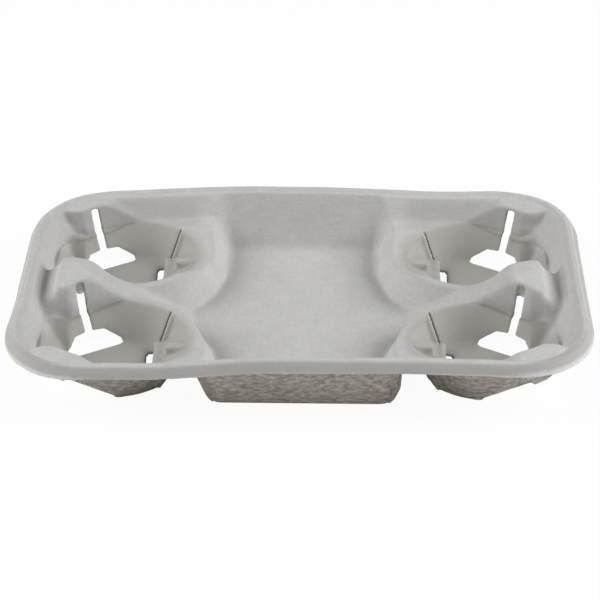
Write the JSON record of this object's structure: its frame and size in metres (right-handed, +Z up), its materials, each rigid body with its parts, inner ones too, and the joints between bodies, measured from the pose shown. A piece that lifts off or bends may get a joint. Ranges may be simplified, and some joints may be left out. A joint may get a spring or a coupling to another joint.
{
  "type": "cup carrier",
  "caption": "Moulded pulp fibre carrier with cup pockets at both ends and a food tray between them.",
  "frame": {"origin": "centre of the base, on the plane that the pockets' undersides stand on", "axes": "+X along the length, +Y across the width, +Z up, out of the pockets"},
  "size_m": [0.411, 0.278, 0.046],
  "materials": {
    "pulp": "matt grey moulded pulp with a fine screen imprint on top and rough fibre below"
  },
  "bodies": {
    "root": {"carrier": "pulp"}
  },
  "joints": []
}
